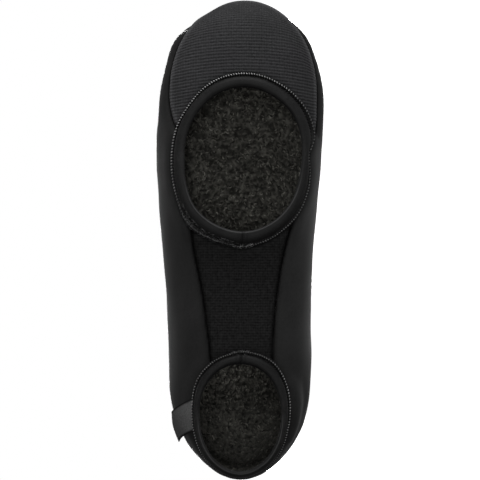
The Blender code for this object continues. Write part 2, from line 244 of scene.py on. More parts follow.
def bumps(points, *rows):
    """The low bumps of slack cloth, from rows of a height, a size and a shift."""
    return sum(height * noise(points, size, shift) for height, size, shift in rows)


def section_at(level):
    """The section's columns at many levels, on a smooth curve through the rows."""
    first = np.clip(level.astype(int), 0, TOP_LEVEL - 1)
    x = (level - first)[:, None]
    before, here = ROWS[np.maximum(first - 1, 0)], ROWS[first]
    there, after = ROWS[first + 1], ROWS[np.minimum(first + 2, TOP_LEVEL)]
    leave = np.where(first[:, None] > 0, (there - before) / 2.0, there - here)
    arrive = np.where(first[:, None] + 2 <= TOP_LEVEL, (after - here) / 2.0, there - here)
    curve = (
        here * (1 + 2 * x) * (1 - x) ** 2
        + leave * x * (1 - x) ** 2
        + there * x * x * (3 - 2 * x)
        + arrive * x * x * (x - 1)
    )
    return Section(*curve.T)


def raw_surface(level, turn):
    """The last's surface: turn runs once round a level, from the heel along the inner side."""
    row = section_at(level)
    angle = turn * FULL_TURN
    along = row.rear + (row.front - row.rear) * (1.0 - np.cos(angle)) / 2.0
    side = np.where(np.sin(angle) >= 0.0, 1.0, -1.0)
    start, end = row.rear + row.end_rear, row.front - row.end_front
    middle = row.half_rear + (row.half_front - row.half_rear) * ramp(along, start, end)
    back = np.clip((start - along) / row.end_rear, 0.0, 1.0)
    fore = np.clip((along - end) / row.end_front, 0.0, 1.0)
    heel = (1.0 - back ** HEEL_ROUND) ** (1.0 / HEEL_ROUND)
    toe = (1.0 - fore ** TOE_ROUND) ** (1.0 / TOE_ROUND)
    spring = TOE_SPRING * share(along, SPRING_START, LENGTH) ** 2
    arch = ARCH_RISE * np.sin(math.pi * share(along, *ARCH_SPAN)) ** 2
    arch = arch * (1.0 - ramp(row.up, 0.0, ARCH_FADE_UP))
    waist = np.clip((along - WAIST_MIDDLE) / WAIST_REACH, -1.0, 1.0)
    swing = TOE_SWING * ramp(along, SWING_START, LENGTH)
    swing = swing - WAIST_SWING * np.cos(waist * math.pi / 2.0) ** 2
    swing = swing * (1.0 - ramp(row.up, *SWING_FADE_UP))
    across = row.slump + swing + side * middle * heel * toe
    return np.stack([along, across, row.up + spring + arch], axis=1)


def fold_depth(points, normals, folds):
    """How far folds move the surface out along its normal."""
    total = np.zeros(len(points))
    for side, along, up, to_along, to_up, half, depth in folds:
        line = np.array([to_along - along, to_up - up])
        seen = points[:, (0, 2)] - np.array([along, up])
        part = np.clip(seen @ line / (line @ line), 0.0, 1.0)
        apart = np.linalg.norm(seen - part[:, None] * line, axis=1)
        faces = ramp(0.5 + FOLD_SIDE_EDGE * side * normals[:, 1])
        total += mound(apart, Mound(depth, 0.0, half)) * faces
    return total


def press_flat(points, lowest):
    """Points that would sink under the floor plane are moved up to a height above it."""
    height = points[:, 0] * FLOOR_SIN - points[:, 1] * FLOOR_COS + FLOOR_LIFT
    points = points.copy()
    points[:, 1] -= PRESS_SOFT * np.logaddexp(0.0, (lowest - height) / PRESS_SOFT) / FLOOR_COS
    return points


def skin(level, turn):
    """The folded skin and its outward normals, before it is pressed flat on the floor."""
    above, below = np.minimum(level + NORMAL_STEP, TOP_LEVEL), level - NORMAL_STEP
    rise = raw_surface(above, turn) - raw_surface(below, turn)
    around = raw_surface(level, turn + TURN_STEP) - raw_surface(level, turn - TURN_STEP)
    normal = unit(np.cross(rise, around))
    points = raw_surface(level, turn)
    return moved(points, normal, fold_depth(points, normal, FOLDS)), normal


def wave_out(angle, rim):
    """How far a rim stands out from its plain oval at angles round it."""
    place, out = np.array(WAVES[rim]).T
    return np.mean([np.interp(angle + step, place, out, period=FULL_TURN) for step in WAVE_BLUR], axis=0)


def past_oval(x, y, ratio):
    """How far places lie outside an oval, where ratio is 1 on it."""
    return np.hypot(x, y) * (1.0 - 1.0 / np.maximum(ratio, LEAST_RATIO))


def rim_distance(points, rim):
    """How far outside an opening's seam points lie, below 0 inside it."""
    scale = np.maximum((rim.tip - points[:, 2]) / rim.tip, LEAST_SCALE)
    x, y = points[:, 0] - rim.along, points[:, 1] - rim.across
    oval = past_oval(x, y, np.hypot(x / (rim.half_along * scale), y / (rim.half_across * scale)))
    wave = wave_out(np.arctan2(y / rim.half_across, x / rim.half_along), rim)
    return np.where(points[:, 2] > RIM_TOP, FAR, oval - wave)


def opening_distance(points):
    """How far outside the nearer opening's seam points lie."""
    return np.minimum(rim_distance(points, CLEAT_OUTER), rim_distance(points, HEEL_OUTER))


def toe_distance(points):
    """How far outside the toe panel points lie, below 0 on the panel."""
    along, across, up = points.T
    x, y = along - TOE_SEAM_ALONG, across - TOE_SEAM_ACROSS
    reach = np.where(x > 0.0, TOE_SEAM_FRONT, np.where(y > 0.0, TOE_SEAM_REAR_INNER, TOE_SEAM_REAR))
    ratio = (np.abs(x / reach) ** TOE_ROUND + np.abs(y / TOE_SEAM_HALF) ** TOE_ROUND) ** (1.0 / TOE_ROUND)
    top = up - TOE_TOP_START[1] - (along - TOE_TOP_START[0]) * TOE_TOP_SLOPE
    return np.maximum.reduce([past_oval(x, y, ratio), top, TOE_REAR_END - along])


def arch_distance(points):
    """How far outside the arch panel points lie, below 0 on the panel."""
    along, across, up = points.T
    inner, outer = (np.interp(along, ARCH_PLACES, half) for half in (ARCH_INNER_HALF, ARCH_OUTER_HALF))
    outside = [across - inner, -across - outer, ARCH_ENDS[0] - along, along - ARCH_ENDS[1]]
    return np.where(up > ARCH_TOP, FAR, np.maximum.reduce(outside))


def drop_unused(base, normal, faces):
    """A sheet's points, normals and faces without the points that no face uses."""
    used = np.unique(np.concatenate(faces))
    index = np.zeros(len(base), dtype=int)
    index[used] = np.arange(len(used))
    return base[used], normal[used], [index[face].tolist() for face in faces]


def cut_sheet(base, normal, quads, value):
    """Keeps the part of a sheet where a value given at each point is above 0."""
    inside = value > 0.0
    count = inside[quads].sum(axis=1)
    faces = quads[count == 4].tolist()
    made, bases, normals = {}, [], []

    def crossing(a, b):
        key = (min(a, b), max(a, b))
        if key not in made:
            x = value[a] / (value[a] - value[b])
            made[key] = len(value) + len(bases)
            bases.append(base[a] + (base[b] - base[a]) * x)
            normals.append(normal[a] + (normal[b] - normal[a]) * x)
        return made[key]

    for face in quads[(count > 0) & (count < 4)].tolist():
        kept = []
        for a, b in zip(face, face[1:] + face[:1]):
            if inside[a]:
                kept.append(a)
            if inside[a] != inside[b]:
                kept.append(crossing(a, b))
        if len(kept) > 2:
            faces.append(kept)
    return drop_unused(np.concatenate([base, bases]), unit(np.concatenate([normal, normals])), faces)


def grid_quads(rows, columns):
    """The faces of a grid of points, row after row."""
    i = (np.arange(rows - 1)[:, None] * columns + np.arange(columns - 1)).ravel()
    return np.stack([i, i + 1, i + columns + 1, i + columns], axis=1)


def to_world(points):
    """From millimetres in the shoe's frame to metres on the floor."""
    along, across, up = points[..., 0], points[..., 1], points[..., 2]
    return MM * np.stack([
        FLOOR_COS * along + FLOOR_SIN * across + FLOOR_SHIFT[0],
        up + FLOOR_SHIFT[1],
        FLOOR_SIN * along - FLOOR_COS * across + FLOOR_LIFT,
    ], axis=-1)


WELD = 0.002
EDGE_TURN = 1.8


def turn_edges_in(bm):
    """Turns the open edges of a sheet inwards, so that it shows the thickness of its cloth."""
    bm.normal_update()
    made = bmesh.ops.extrude_edge_only(bm, edges=[e for e in bm.edges if e.is_boundary])
    for vert in (g for g in made["geom"] if isinstance(g, bmesh.types.BMVert)):
        near = [e.other_vert(vert) for e in vert.link_edges]
        old = next(v for v in near if (v.co - vert.co).length < TINY)
        vert.co = old.co - old.normal * EDGE_TURN * MM


def add_object(name, data):
    """A new object in the scene."""
    obj = bpy.data.objects.new(name, data)
    bpy.context.scene.collection.objects.link(obj)
    return obj


def add_piece(name, points, faces, material, slot=None, node=None, weld=False, turned=False, **fields):
    """A mesh piece that rides on the shoe. fields are what its material reads at each of its points."""
    points = points.reshape(-1, 3)
    mesh = bpy.data.meshes.new(name)
    mesh.from_pydata(to_world(points).tolist(), [], faces if isinstance(faces, list) else faces.tolist())
    for key, field in {"shoe": points, **fields}.items():
        kind, part = ("FLOAT_VECTOR", "vector") if field.size > len(points) else ("FLOAT", "value")
        layer = mesh.attributes.new(key, kind, "POINT")
        layer.data.foreach_set(part, field.astype(np.float32).ravel())
    if weld or turned:
        bm = bmesh.new()
        bm.from_mesh(mesh)
        if weld:
            bmesh.ops.remove_doubles(bm, verts=bm.verts, dist=WELD * MM)
        bmesh.ops.recalc_face_normals(bm, faces=bm.faces)
        if turned:
            turn_edges_in(bm)
        bm.to_mesh(mesh)
        bm.free()
    mesh.polygons.foreach_set("use_smooth", [True] * len(mesh.polygons))
    mesh.update()
    mesh.materials.append(material)
    obj = add_object(name, mesh)
    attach(obj, "root")
    if node:
        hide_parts(node)


class Value:
    """What a node gives, so that the sums of a material read as formulas."""

    def __init__(self, nodes, socket):
        self.nodes, self.socket = nodes, socket

    def __add__(self, other):
        return self.nodes.math("ADD", self, other)

    def __sub__(self, other):
        return self.nodes.math("SUBTRACT", self, other)

    def __rsub__(self, other):
        return self.nodes.math("SUBTRACT", other, self)

    def __mul__(self, other):
        return self.nodes.math("MULTIPLY", self, other)


class Nodes:
    """The nodes of a material or of the world, with short calls. set fills an input of its shader."""

    def __init__(self, owner, kind):
        owner.use_nodes = True
        self.owner, self.tree = owner, owner.node_tree
        self.shader = next(n for n in self.tree.nodes if n.type == kind)

    def fill(self, target, value):
        if isinstance(value, Value):
            self.tree.links.new(value.socket, target)
        else:
            target.default_value = value

    def set(self, key, value):
        self.fill(self.shader.inputs[key], value)

    def add(self, kind, inputs, output, **settings):
        node = self.tree.nodes.new(kind)
        for key, setting in settings.items():
            setattr(node, key, setting)
        for key, value in inputs.items():
            self.fill(node.inputs[key], value)
        return Value(self, node.outputs[output])

    def vector(self, name):
        return self.add("ShaderNodeAttribute", {}, "Vector", attribute_name=name)

    def number(self, name):
        return self.add("ShaderNodeAttribute", {}, "Fac", attribute_name=name)

    def part(self, vector, axis):
        return self.add("ShaderNodeSeparateXYZ", {0: vector}, axis)

    def math(self, operation, a, b=0.0):
        return self.add("ShaderNodeMath", {0: a, 1: b}, "Value", operation=operation)

    def wave(self, value, pitch):
        return self.math("SINE", value * (FULL_TURN / pitch))

    def noise(self, vector, size, detail=2.0, stretch=(1.0, 1.0, 1.0)):
        scale = [s / size for s in stretch]
        place = self.add("ShaderNodeVectorMath", {0: vector, 1: scale}, "Vector", operation="MULTIPLY")
        return self.add("ShaderNodeTexNoise", {"Vector": place, "Scale": 1.0, "Detail": detail}, "Fac")

    def ramp(self, value, between, to, kind="SMOOTHSTEP"):
        inputs = dict(zip(("From Min", "From Max", "To Min", "To Max"), (*between, *to)), Value=value)
        return self.add("ShaderNodeMapRange", inputs, "Result", interpolation_type=kind)

    def colour(self, value, dark, light):
        inputs = {"Factor": value, "A": (*dark, 1.0), "B": (*light, 1.0)}
        mix = self.add("ShaderNodeMix", inputs, "Result", data_type="RGBA", clamp_factor=False)
        self.set("Base Color", mix)

    def bump(self, height, strength, distance):
        inputs = {"Strength": strength, "Distance": distance * MM, "Height": height}
        self.set("Normal", self.add("ShaderNodeBump", inputs, "Normal"))


SHEEN_ROUGHNESS = 0.5


def new_material(name, roughness, specular, sheen=0.0):
    """The nodes of a new material."""
    m = Nodes(bpy.data.materials.new(name), "BSDF_PRINCIPLED")
    m.set("Roughness", roughness)
    m.set("Specular IOR Level", specular)
    m.set("Sheen Weight", sheen)
    m.set("Sheen Roughness", SHEEN_ROUGHNESS)
    return m


def grey(value):
    return value, value, value


def softshell_material():
    m = new_material("softshell", roughness=0.6, specular=0.03, sheen=0.14)
    shoe = m.vector("shoe")
    cloud = m.noise(shoe, size=26.0, detail=3.0)
    grain = m.noise(shoe, size=0.55, detail=3.0)
    speck = m.noise(shoe, size=1.6)
    # Painted shade darkens the cloth in and beside seams, rims and the hem; pale lifts it on the strip above
    # the toe seam and, as painted light, on the inner waist.
    tone = (cloud * 0.55 + speck * 0.35) * (1.0 - m.number("seam") * 0.95) * m.number("pale")
    m.colour(tone, grey(0.0015), grey(0.016))
    # The sheen tint holds the sheen back as painted shade in the seams, at the heel and on the outer ball,
    # and on the strip above the toe seam.
    m.set("Sheen Tint", m.number("shine"))
    m.set("Roughness", m.ramp(speck, (0.3, 0.7), to=(0.54, 0.68)))
    m.bump(grain + speck * 0.6, strength=0.35, distance=0.1)
    return m.owner


def toe_material():
    m = new_material("ribbed_toe", roughness=0.72, specular=0.05, sheen=0.05)
    shoe = m.vector("shoe")
    across = m.part(shoe, "Y")
    yarn = m.wave(across, pitch=1.6)
    fuzz = m.noise(shoe, size=1.2, detail=3.0, stretch=(1.3, 0.8, 1.0))
    cloud = m.ramp(m.noise(shoe, size=22.0), (0.25, 0.75), to=(0.88, 1.08))
    worn = m.ramp(m.noise(shoe, size=6.0), (0.35, 0.65), to=(0.45, 1.05))
    # Painted light and shade on the ribs: lighter on their ridges and darker in their grooves, stronger or
    # weaker at random.
    rib = m.ramp(m.number("rib"), (-0.9, 0.7), to=(-0.19, 0.19)) * worn
    tone = rib + 0.45 + yarn * 0.06 + (fuzz - 0.5) * 0.95
    # Painted light: the outer side of the panel is lighter and the inner side darker.
    tone = tone * cloud * m.ramp(across, (-48.0, 48.0), to=(1.2, 0.86))
    # A highlight is painted along the panel's edge, and shade in and beside its seams.
    tone = (tone + m.number("edge") * 0.8) * (1.0 - m.number("seam") * 0.75)
    m.colour(tone, (0.004, 0.004, 0.0042), (0.03, 0.03, 0.0313))
    m.bump(yarn * 0.5 + fuzz, strength=0.4, distance=0.12)
    return m.owner


def arch_material():
    m = new_material("woven_arch", roughness=0.78, specular=0.03)
    shoe = m.vector("shoe")
    yarn = m.wave(m.part(shoe, "X"), pitch=1.7) * 0.4 + m.wave(m.part(shoe, "Y"), pitch=1.5) * 0.2
    fuzz = m.noise(shoe, size=1.5, detail=3.0)
    tone = m.ramp(yarn, (-0.8, 0.8), to=(0.2, 0.6)) + (fuzz - 0.5) * 1.3
    # Painted shade darkens the weave in and beside its seams and rims.
    m.colour(tone * (1.0 - m.number("seam") * 0.97), grey(0.002), grey(0.012))
    m.bump(yarn + fuzz, strength=0.35, distance=0.1)
    return m.owner


def band_material():
    m = new_material("elastic_band", roughness=0.5, specular=0.06, sheen=0.03)
    place = m.vector("band")
    along, across = m.part(place, "X"), m.part(place, "Y")
    warp = m.wave(across, pitch=0.9) + m.wave(along + across, pitch=1.2) * 0.6
    fuzz = m.noise(m.vector("shoe"), size=1.2, detail=3.0)
    tone = (fuzz - 0.25) * 0.9 + m.noise(place, size=9.0) * 0.45
    # Painted shade darkens the band, and painted light lifts it along the fold and on its sides.
    tone = tone * (1.0 - m.number("seam") * 0.85) + m.number("worn") * 1.6
    m.colour(tone, grey(0.001), grey(0.016))
    m.set("Roughness", m.ramp(fuzz, (0.3, 0.7), to=(0.45, 0.62)))
    m.bump(warp * 0.4 + fuzz, strength=0.3, distance=0.1)
    return m.owner


def thread_material():
    m = new_material("overlock_thread", roughness=0.55, specular=0.2)
    # The light attribute sets each thread's tone; on the overlock stitches it is painted light and shade.
    m.colour(m.number("light"), grey(0.004), grey(0.3))
    m.bump(m.noise(m.vector("shoe"), size=0.3), strength=0.3, distance=0.1)
    return m.owner


def fleece_material():
    m = new_material("curly_fleece", roughness=0.85, specular=0.06)
    shoe = m.vector("shoe")
    # Painted shade: darker where the nap is low; the bright attribute is painted light and shade along the
    # shoe.
    nap = m.ramp(m.number("nap"), (0.0, 1.0), to=(0.06, 1.0))
    tuft = m.ramp(m.noise(shoe, size=3.0, detail=3.0), (0.3, 0.7), to=(0.32, 1.32))
    m.colour(nap * tuft * m.number("bright"), (0.012, 0.0118, 0.0105), (0.13, 0.127, 0.112))
    m.bump(m.noise(shoe, size=0.5, detail=3.0), strength=0.5, distance=0.2)
    return m.owner


def ribbon_material():
    m = new_material("ribbon", roughness=0.65, specular=0.06)
    place = m.vector("band")
    weave = m.wave(m.part(place, "X"), pitch=0.8) * m.wave(m.part(place, "Y"), pitch=0.8)
    fuzz = m.noise(place, size=0.7, detail=3.0)
    tone = m.ramp(weave, (-0.8, 0.8), to=(0.3, 0.65)) + (fuzz - 0.5) * 0.5
    # Painted shadow darkens its long edges.
    m.colour(tone * (1.0 - m.number("seam")), grey(0.003), grey(0.125))
    m.bump(weave + fuzz, strength=0.35, distance=0.1)
    return m.owner


softshell = softshell_material()
thread = thread_material()
fleece = fleece_material()
band_cloth = band_material()


# The bare skin and the inside of its wall as fine meshes, which rays from inside the shoe find.
SOLE_EDGE = 4.0
SKIN_COLUMNS = 361
RAY_ASIDE = Vector((0.07, 0.05, 0.0))


def level_rows(first, near_sole, above):
    """Levels from a first one to the collar, so many up to the sole's edge and so many above it."""
    low, high = np.linspace(first, SOLE_EDGE, near_sole), np.linspace(SOLE_EDGE, TOP_LEVEL, above)
    return np.concatenate([low[:-1], high])


def skin_grid(levels):
    """The skin and its normals, with a row of points round each level."""
    level, turn = np.meshgrid(levels, np.linspace(0.0, 1.0, SKIN_COLUMNS), indexing="ij")
    return skin(level.ravel(), turn.ravel())


SKIN_LEVELS = level_rows(0.0, near_sole=81, above=133)
bare, bare_normal = skin_grid(SKIN_LEVELS)
bare_quads = grid_quads(len(SKIN_LEVELS), SKIN_COLUMNS)
bare_inside = press_flat(bare - bare_normal * WALL, WALL)
SKIN_TREE = BVHTree.FromPolygons(press_flat(bare, 0.0).tolist(), bare_quads.tolist())
INSIDE_TREE = BVHTree.FromPolygons(bare_inside.tolist(), bare_quads.tolist())


def cast(starts, ways, tree):
    """Where rays meet a skin, tried again a little aside. A ray that finds nothing gives its own start."""
    found = []
    for start, way in zip(starts.reshape(-1, 3), ways.reshape(-1, 3)):
        start, way = Vector(start), Vector(way)
        found.append(tree.ray_cast(start, way)[0] or tree.ray_cast(start + RAY_ASIDE, way)[0] or start)
    return np.array(found).reshape(starts.shape)


def ray_grid(area, cell, up):
    """Places at one height over an area along and across the shoe, from which upright rays start."""
    along, across = np.meshgrid(*(np.arange(low, high, cell) for low, high in area), indexing="ij")
    return np.stack([along, across, np.full(along.shape, up)], axis=-1)


def grid_normals(grid, outwards):
    """Normals of a grid of points, on the side that outwards points to."""
    normal = unit(np.cross(np.gradient(grid, axis=0), np.gradient(grid, axis=1)))
    facing = np.sign(np.sum(normal * outwards, axis=-1, keepdims=True))
    return normal * np.where(facing == 0.0, 1.0, facing)


SEAM_SOFT = 0.4
PUCKER_SLANT = 0.6
PUCKER_REACH = 6.0
PUCKER_WANDER = (3.0, 14.0, 0.0)


def seam_shade(distance, core=1.1, fall=3.0):
    """The painted shade next to a seam: black in its groove, with a soft fall beside it."""
    groove = mound(distance, Mound(1.0, 0.0, core, 4))
    return np.maximum(groove, mound(distance, Mound(SEAM_SOFT, 0.0, fall)))


def seam_roll(distance, depth=1.8, width=1.5, puff=0.4, middle=5.2, half=3.0):
    """Cloth pulled down into a seam, with a soft roll beside it."""
    return mound(distance, Mound(puff, middle, half)) - mound(distance, Mound(depth, 0.0, width))


def pucker(points, distance, pitch=5.5, depth=0.14):
    """Small puckers beside a seam."""
    run = points[:, 0] + PUCKER_SLANT * points[:, 1]
    wave = np.sin(FULL_TURN * run / pitch + bumps(points, PUCKER_WANDER))
    return depth * wave * np.exp(-distance / PUCKER_REACH)


# The upper: both sides, the vamp, the heel and the shaft, cut out round the other pieces. A strip above
# the toe seam is paler and duller. Painted shade darkens it in and beside the seams, the rims and the hem,
# where its sheen is held back too, and holds back its sheen at the heel and on the outer ball; painted
# light lifts the colour of the inner waist.
HEM_UP = float(section_at(np.array([HEM_LEVEL])).up[0])
HEM_SOFT = 0.5
BACK_SEAM_FROM = 26.0
BACK_SEAM_ALONG = 30.0
UPPER_BUMPS = ((0.28, 19.0, 0.0), (0.12, 8.0, 3.3))
STRIP_FROM = (200.0, 236.0)
STRIP_UP = (44.0, 60.0)
STRIP_DULL = 0.8
STRIP_PALE = 0.9
HEEL_FROM = (100.0, 55.0)
HEEL_PAINTED_SHADE = 0.35
SIDE_REACH = 20.0
BALL_PAINTED_SHADE = Mound(0.25, 210.0, 30.0)
WAIST_PAINTED_LIGHT = Mound(0.35, 140.0, 55.0)


def make_upper():
    base = press_flat(bare, 0.0)
    outside = np.minimum.reduce([opening_distance(base), toe_distance(base), arch_distance(base)])
    base, normal, faces = cut_sheet(base, bare_normal, bare_quads, outside - SEAM_EDGE)
    along, across, up = base.T
    panels = np.maximum(np.minimum(toe_distance(base), arch_distance(base)), 0.0)
    rims = opening_distance(base)
    behind = (along < BACK_SEAM_ALONG) & (up > BACK_SEAM_FROM)
    back = np.where(behind, np.abs(across - np.interp(up, COLUMNS.up, COLUMNS.slump)), FAR)
    out = seam_roll(panels) + seam_roll(rims, depth=0.5, width=1.6, puff=0.3)
    out += seam_roll(back, depth=0.6, width=0.8, puff=0.25) + pucker(base, np.minimum(panels, rims))
    out += fold_depth(base, normal, CREASES) + bumps(base, *UPPER_BUMPS)
    out += HEM_STEP * ramp(up, HEM_UP - HEM_SOFT, HEM_UP + HEM_SOFT)
    # Painted shade: the cloth is darkened in and beside the seams, the rims and the hem step, and its sheen
    # is held back there.
    shade = np.maximum.reduce([
        seam_shade(panels),
        0.7 * seam_shade(back, core=0.5, fall=0.8),
        0.8 * seam_shade(rims, core=0.9, fall=2.4),
        0.6 * seam_shade(up - HEM_UP, core=0.5, fall=0.9),
    ])
    strip = ramp(along, *STRIP_FROM) * (1.0 - ramp(up, *STRIP_UP))
    # Painted shade: the sheen is held back at the heel end and on the outer ball. Painted light: the colour
    # is lifted on the inner waist.
    ball = ramp(-across, 0.0, SIDE_REACH) * mound(along, BALL_PAINTED_SHADE)
    heel_end = HEEL_PAINTED_SHADE * ramp(along, *HEEL_FROM)
    shine = (1.0 - shade) * (1.0 - STRIP_DULL * strip) * (1.0 - heel_end) * (1.0 - ball)
    pale = 1.0 + STRIP_PALE * strip + ramp(across, 0.0, SIDE_REACH) * mound(along, WAIST_PAINTED_LIGHT)
    points = press_flat(moved(base, normal, out), 0.0)
    add_piece("softshell_upper", points, faces, softshell, "softshell", "upper", weld=True, turned=True,
              shoe=base, seam=shade, shine=shine, pale=pale)


# The toe panel, with a row of points for each part of a rib. Rays fan out round the bend of the toe.
# Its ribs carry painted light and shade that fades towards the tip, its seam and rim painted shade, and a
# painted highlight runs along its edge.
RIB_PITCH = 2.0
RIB_ROWS = 6
RIB_DEPTH = 0.16
RIB_ARCH = 0.0022
RIB_EDGE = 2.0
RIB_FADE = (286.0, 300.0)
RIB_SHADE_FADE = 0.8
TOE_BEND_UP = 30.0
TOE_BEND_RADIUS = 21.0
TOE_BEND_MOST = 2.2
TOE_COLUMN = 0.9
TOE_ROWS_ALONG = (200.0, 334.0)
TOE_HALF = 48.6
TOE_PART_MOST = 0.995
TOE_EDGE_HIGHLIGHT = Mound(1.0, 2.0, 1.0)
TOE_BUMPS = (0.2, 17.0, 1.7)


def toe_outline(across):
    """The front end of the last's widest level at places across it."""
    part = np.minimum(np.abs(across - TOE_SEAM_ACROSS) / WIDEST.half_front, TOE_PART_MOST)
    reach = (1.0 - part ** TOE_ROUND) ** (1.0 / TOE_ROUND)
    return WIDEST.front - WIDEST.end_front + WIDEST.end_front * reach


def make_toe():
    rows = np.arange(*TOE_ROWS_ALONG, RIB_PITCH / RIB_ROWS)
    columns = np.arange(-TOE_HALF, TOE_HALF + TOE_COLUMN, TOE_COLUMN) + TOE_SEAM_ACROSS
    rib_at, across = np.meshgrid(rows, columns, indexing="ij")
    cloth = rib_at - RIB_ARCH * (across - TOE_SEAM_ACROSS) ** 2
    bend = toe_outline(across) - TOE_BEND_RADIUS
    angle = np.clip((cloth - bend) / TOE_BEND_RADIUS, 0.0, TOE_BEND_MOST)
    start = np.stack([np.minimum(cloth, bend), across, np.full(cloth.shape, TOE_BEND_UP)], axis=-1)
    way = np.stack([np.sin(angle), np.zeros(angle.shape), -np.cos(angle)], axis=-1)
    grid = cast(start, way, SKIN_TREE)
    normal = grid_normals(grid, grid - np.array([TOE_SEAM_ALONG, 0.0, TOE_BEND_UP])).reshape(-1, 3)
    base = grid.reshape(-1, 3)
    inside = np.minimum(-toe_distance(base), rim_distance(base, CLEAT_OUTER)) - SEAM_EDGE
    base = np.column_stack([base, np.cos(FULL_TURN * rib_at.ravel() / RIB_PITCH)])
    base, normal, faces = cut_sheet(base, normal, grid_quads(*rib_at.shape), inside)
    base, rib = base[:, :3], base[:, 3]
    seam = np.maximum(-toe_distance(base), 0.0)
    rims = rim_distance(base, CLEAT_OUTER)
    out = RIB_DEPTH * rib * ramp(seam, 0.0, RIB_EDGE) + bumps(base, TOE_BUMPS)
    out += seam_roll(seam, depth=1.3, width=0.9, puff=0.6, middle=2.2, half=1.4)
    out += seam_roll(rims, depth=0.5, width=1.6, puff=0.2)
    # Painted shade in and beside the toe seam and the cleat's rim.
    shade = np.maximum(seam_shade(seam, core=0.6, fall=1.0), seam_shade(rims, core=1.5, fall=2.6))
    points = press_flat(moved(base, normal, out), 0.0)
    # The ribs' painted light and shade fades towards the tip, and a highlight is painted along the panel's
    # edge.
    rib = rib * (1.0 - RIB_SHADE_FADE * ramp(base[:, 0], *RIB_FADE))
    add_piece("ribbed_toe_panel", points, faces, toe_material(), "ribbed_toe", "toe_panel", turned=True,
              shoe=base, seam=shade, rib=rib, edge=mound(seam, TOE_EDGE_HIGHLIGHT))


ARCH_CELL = 0.75
ARCH_AREA = ((74.0, 170.0), (-36.0, 37.0))
ARCH_RAY_UP = 20.0
ARCH_BUMPS = (0.2, 15.0, 5.1)


def make_arch():
    start = ray_grid(ARCH_AREA, ARCH_CELL, ARCH_RAY_UP)
    down = np.broadcast_to(-UP, start.shape)
    grid = cast(start, down, SKIN_TREE)
    base, normal = grid.reshape(-1, 3), grid_normals(grid, down).reshape(-1, 3)
    inside = np.minimum(-arch_distance(base), opening_distance(base)) - SEAM_EDGE
    base, normal, faces = cut_sheet(base, normal, grid_quads(*grid.shape[:2]), inside)
    seam = np.maximum(-arch_distance(base), 0.0)
    rims = opening_distance(base)
    out = seam_roll(seam, depth=1.8, width=1.3, puff=0.25) + seam_roll(rims, depth=0.4, width=1.6, puff=0.2)
    out += bumps(base, ARCH_BUMPS) + pucker(base, np.minimum(seam, rims), pitch=6.5, depth=0.1)
    # Painted shade in and beside the arch seams and the rims.
    shade = np.maximum(seam_shade(seam, core=1.0, fall=1.6), 0.8 * seam_shade(rims, core=0.9, fall=2.0))
    points = moved(base, normal, out)
    add_piece("woven_arch_panel", points, faces, arch_material(), "woven_arch", "arch_panel", turned=True,
              shoe=base, seam=shade)


# The bound openings. A band is swept round between its two rims, from the overlocked seam to the fold, and
# the waves of its rims pull its places with them.
RAY_UP = 32.0
BAND_STOPS = np.concatenate([
    np.linspace(-0.13, 0.16, 16), np.linspace(0.2, 0.84, 15), np.linspace(0.87, 1.0, 7),
])
SEAM_ROW = 8
PULL_MOST = 1.1
STRETCH = 2.0
STRETCH_LEAST = -0.3

# How high it stands: the overlocked ridge, a groove that is deepest towards the toe, a padded fold, a dip
# at its outer edge, and a slit between two lips where its ends are sewn together.
BAND_HEIGHT = 0.22
RIDGE = Mound(0.75, 0.0, 0.05)
GROOVE = Mound(-1.1, 0.14, 0.06)
GROOVE_REAR = 0.3
GROOVE_FRONT = 0.6
PAD_HEIGHT = 1.6
PAD_MIDDLE = 0.64
PAD_HALF = 0.46
PAD_ROUND = 0.75
DIP = 0.6
DIP_SPAN = (-0.07, -0.13)
SLIT = Mound(-0.6, 0.0, 0.55)
SLIT_SPAN = (0.02, 0.12)
LIPS = Mound(0.35, 2.0, 1.2)
CLOTH_SPAN = (0.1, 0.2)
GATHER_STRETCH = np.array([1.0, 1.0, 0.3])
GATHER_FINE = (0.16, 4.2, 0.0)
GATHER_WIDE = (0.18, 11.0, 2.2)
GATHER_MIDDLE = 0.55
GATHER_HALF = 0.5

# How it turns in at the fold, each step a reach inwards and a rise, and down at its outer edge.
CURL = [(0.45, -0.35), (0.62, -0.95), (0.4, -1.7), (-0.3, -2.4), (-1.4, -2.8), (-2.8, -3.0)]
CURL_STOP = 0.1
FOLD_END = 1.05
EDGE_DROP = 2.2

# Its painted shade: in the groove, at the outer edge, between the stitches on the ridge, towards the fold on
# the side of the toe, at the ends towards and away from the toe, under the knots and in the slit of its join.
# Its painted light: a highlight along the fold, and lighter sides.
GROOVE_DARK = Mound(1.0, 0.15, 0.075, 4)
EDGE_DARK = Mound(0.9, -0.1, 0.05)
RIDGE_DARK = Mound(0.6, 0.0, 0.05)
KNOT_DARK = Mound(0.9, 0.0, 4.0)
KNOT_SPAN = (0.2, 0.1)
SLIT_DARK = Mound(1.0, 0.0, 0.7)
REAR_GAIN = -1.3
FOLD_DARK_SPAN = (0.5, 0.95)
FOLD_PAINTED_LIGHT = Mound(1.0, 0.98, 0.03)
FOLD_LIGHT_FADE = 0.5
SIDE_PAINTED_LIGHT = 0.06
SIDE_LIGHT_SPAN = (0.2, 0.3)


